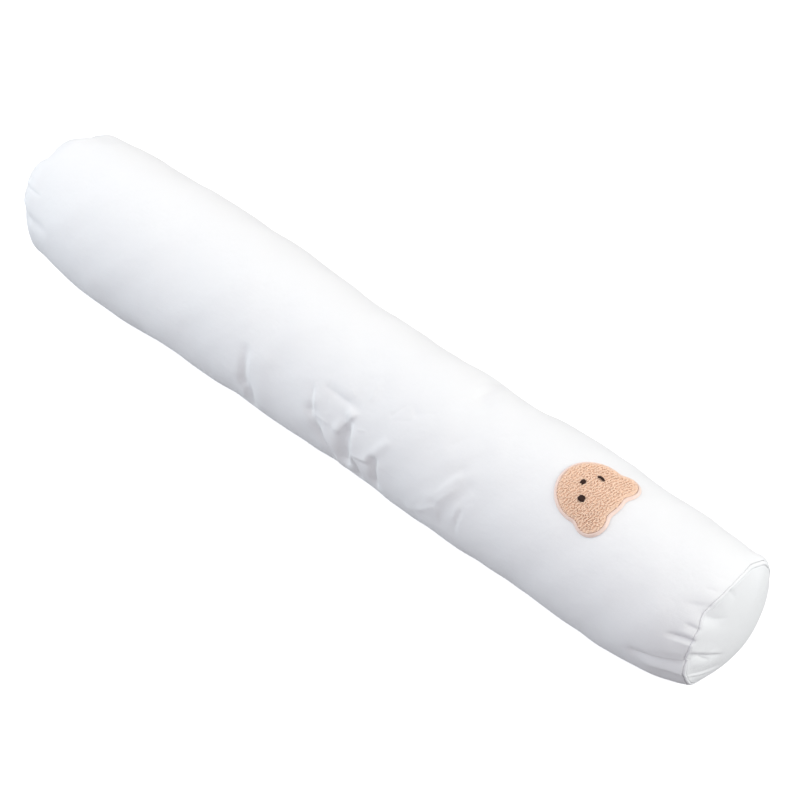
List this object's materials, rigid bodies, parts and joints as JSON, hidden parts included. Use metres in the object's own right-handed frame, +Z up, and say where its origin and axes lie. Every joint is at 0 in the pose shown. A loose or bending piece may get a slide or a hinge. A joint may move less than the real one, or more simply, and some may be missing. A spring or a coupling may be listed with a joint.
{
  "type": "baby bolster pillow",
  "caption": "Long round bolster pillow for a baby, filled white cotton with round end panels and a small terry bear's head sewn on near one end.",
  "frame": {"origin": "on the surface it rests on, under the middle of its box", "axes": "+X along the bolster towards the end with the bear's head, +Z up, -Y towards the viewer's side"},
  "size_m": [0.848, 0.1548, 0.1528],
  "materials": {
    "white_cotton": "smooth, tightly woven white cotton with a faint sheen",
    "blush_felt": "thin pale blush felt, cut edge",
    "peach_terry": "short looped terry pile in slanting rows",
    "dark_thread": "dark brown satin stitch"
  },
  "bodies": {
    "root": {"bolster_tube": "white_cotton", "end_panel_right": "white_cotton", "end_panel_left": "white_cotton", "patch_backing": "blush_felt", "patch_pile": "peach_terry", "patch_eye_left": "dark_thread", "patch_eye_right": "dark_thread", "patch_nose": "dark_thread"}
  },
  "joints": []
}
